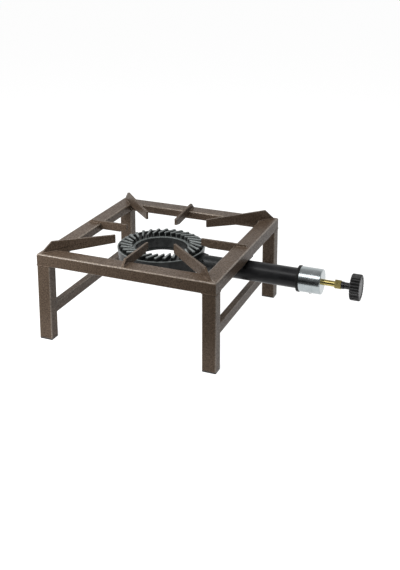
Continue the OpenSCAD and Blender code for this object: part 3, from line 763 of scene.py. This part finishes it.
def dark_card(middle):
    """A black card on the floor in front, turned up at its far edge, for gloss to reflect."""
    bpy.ops.object.select_all(action="DESELECT")
    bpy.ops.mesh.primitive_plane_add(
        size=1, location=middle + Vector((0, -(CARD_NEAR + CARD_FAR) / 2, CARD_LIFT)),
        scale=(CARD_WIDTH, CARD_FAR - CARD_NEAR, 1),
    )
    card = bpy.context.object
    card.name = "dark_card"
    settle(card)
    bpy.ops.object.mode_set(mode="EDIT")
    far = middle.y - CARD_FAR + MM
    pick(card, "EDGE", lambda edge: all(vertex.co.y < far for vertex in edge.verts))
    bpy.ops.mesh.extrude_region_move(TRANSFORM_OT_translate={"value": (0, 0, CARD_HEIGHT)})
    bpy.ops.object.mode_set(mode="OBJECT")
    card.data.materials.append(new_material("dark_card", [CARD_SHADE] * 3, 0.0, 0.9))
    card.visible_camera = False
    card.visible_shadow = False


def matt(tree, shade):
    node = tree.nodes.new("ShaderNodeBsdfDiffuse")
    node.inputs["Color"].default_value = (shade, shade, shade, 1)
    return node.outputs["BSDF"]


def white_floor():
    """A white sheet that shows only a soft shadow of the object."""
    bpy.ops.object.select_all(action="DESELECT")
    bpy.ops.mesh.primitive_plane_add(size=FLOOR_SIZE, location=(0, 0, -FLOOR_DROP))
    floor = bpy.context.object
    floor.name = "floor_sheet"
    material = bpy.data.materials.new("white_sheet")
    material.use_nodes = True
    tree = material.node_tree
    tree.nodes.remove(tree.nodes["Principled BSDF"])
    glow = tree.nodes.new("ShaderNodeEmission")
    glow.inputs["Strength"].default_value = FLOOR_GLOW
    seen = tree.nodes.new("ShaderNodeAddShader")
    tree.links.new(matt(tree, FLOOR_SHADED), seen.inputs[0])
    tree.links.new(glow.outputs["Emission"], seen.inputs[1])
    mix = tree.nodes.new("ShaderNodeMixShader")
    tree.links.new(seen_rays(tree), mix.inputs["Fac"])
    tree.links.new(matt(tree, FLOOR_BOUNCE), mix.inputs[1])
    tree.links.new(seen.outputs["Shader"], mix.inputs[2])
    tree.links.new(mix.outputs["Shader"], tree.nodes["Material Output"].inputs["Surface"])
    floor.data.materials.append(material)


def photograph_camera(middle):
    data = bpy.data.cameras.new("photograph")
    data.lens = CAMERA_LENS
    data.sensor_width = CAMERA_SENSOR
    data.shift_y = CAMERA_SHIFT
    camera = bpy.data.objects.new("photograph", data)
    bpy.context.scene.collection.objects.link(camera)
    camera.location = middle + Vector(CAMERA_PLACE)
    camera.rotation_euler = (radians(90 + CAMERA_TILT), 0, radians(CAMERA_TURN))
    bpy.context.scene.camera = camera


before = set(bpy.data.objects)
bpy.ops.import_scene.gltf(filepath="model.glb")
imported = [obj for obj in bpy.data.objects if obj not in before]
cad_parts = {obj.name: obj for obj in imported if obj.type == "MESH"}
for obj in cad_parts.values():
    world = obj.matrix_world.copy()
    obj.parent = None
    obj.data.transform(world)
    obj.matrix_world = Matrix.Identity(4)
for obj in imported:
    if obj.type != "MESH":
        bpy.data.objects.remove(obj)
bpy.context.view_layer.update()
rail_low, rail_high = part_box("top_rail_left")
far_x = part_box("top_rail_right")[1].x
frame_middle = Vector(((rail_low.x + far_x) / 2, (rail_low.y + rail_high.y) / 2, 0))
head_low, head_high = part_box("burner_head")
rim_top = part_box("burner_body")[1].z
burner_middle = Vector(((head_low.x + head_high.x) / 2, (head_low.y + head_high.y) / 2, 0))

# Lighter paint for the bends and broken edges of the frame: a painted highlight
bend_highlight_paint = hammered_paint("hammered_brown_paint_painted_highlight", BEND_PAINTED_HIGHLIGHT, BEND_GLOSS)
# Cast iron painted lighter near the crests, the rim and the band inside the teeth: a painted
# highlight
head_iron = cast_iron(
    "black_cast_iron_head", head_high.z - CREST_HIGHLIGHT_LOW, head_high.z - CREST_HIGHLIGHT_FULL,
    burner_middle, BAND_R,
)
plastic = moulded_plastic()
finishes = {
    "frame_paint": hammered_paint("hammered_brown_paint", FACE_LIGHT, FACE_GLOSS),
    "burner_iron": cast_iron(
        "black_cast_iron_body", rim_top - RIM_HIGHLIGHT_LOW, rim_top - RIM_HIGHLIGHT_FULL,
        burner_middle, 0,
    ),
    "tube_paint": satin_black_paint(),
    "collar_rubber": black_rubber(),
    "zinc": zinc_plate(),
    "steel": bright_steel(),
    "black_steel": blackened_steel(),
    "brass": turned_brass(),
    "packing": sealing_plastic(),
    "foot_plastic": plastic,
    "knob_plastic": plastic,
}

for name in TOP_RAILS + LEGS + LOWER_RAILS:
    paint_highlight_on_bends(softened(name, "frame_paint", RAIL_EDGE, segments=3, highlight_material=bend_highlight_paint))
for name in CORNER_BARS + SIDE_BARS:
    softened(name, "frame_paint", BAR_EDGE, segments=3, highlight_material=bend_highlight_paint)
for name in PLUGS:
    softened(name, "foot_plastic", PLUG_EDGE)
for name in CORNERS:
    weld_line(name)
softened("hanger_brackets", "frame_paint", BRACKET_EDGE)
softened("tube_saddle", "tube_paint", SADDLE_EDGE)
softened("hanger_bolts", "steel", BOLT_EDGE)
softened("hanger_nuts", "steel", BOLT_EDGE)
softened("burner_body", "burner_iron", CASTING_EDGE, segments=3, plates=False)
burner_head()
softened("mixing_tube", "tube_paint", TUBE_EDGE)
softened("tube_collar", "collar_rubber", COLLAR_EDGE, segments=3)
softened("jet_holder", "zinc", HOLDER_EDGE)
air_shutter()
softened("lock_screw", "steel", LOCK_SCREW_EDGE, body="shutter_lock")
softened("jet_nut", "brass", JET_NUT_EDGE)
softened("injector_jet", "brass", JET_EDGE)
softened("valve_body", "brass", VALVE_EDGE)
softened("valve_needle", "steel", NEEDLE_EDGE, body="needle")
softened("valve_spindle", "black_steel", SPINDLE_EDGE, body="knob")
softened("gland_packing", "packing", PACKING_EDGE)
softened("gland_nut", "black_steel", GLAND_EDGE, segments=3)
control_knob()

studio_world()
white_floor()
dark_card(frame_middle)
aim = frame_middle + Vector((0, 0, AIM_HEIGHT))
for name, place, shift, size, power, mirrored in LAMPS:
    area_light(name, aim + Vector(place), aim + Vector(shift), size, power, mirrored)
photograph_camera(frame_middle)
bpy.context.scene.view_settings.view_transform = "Standard"
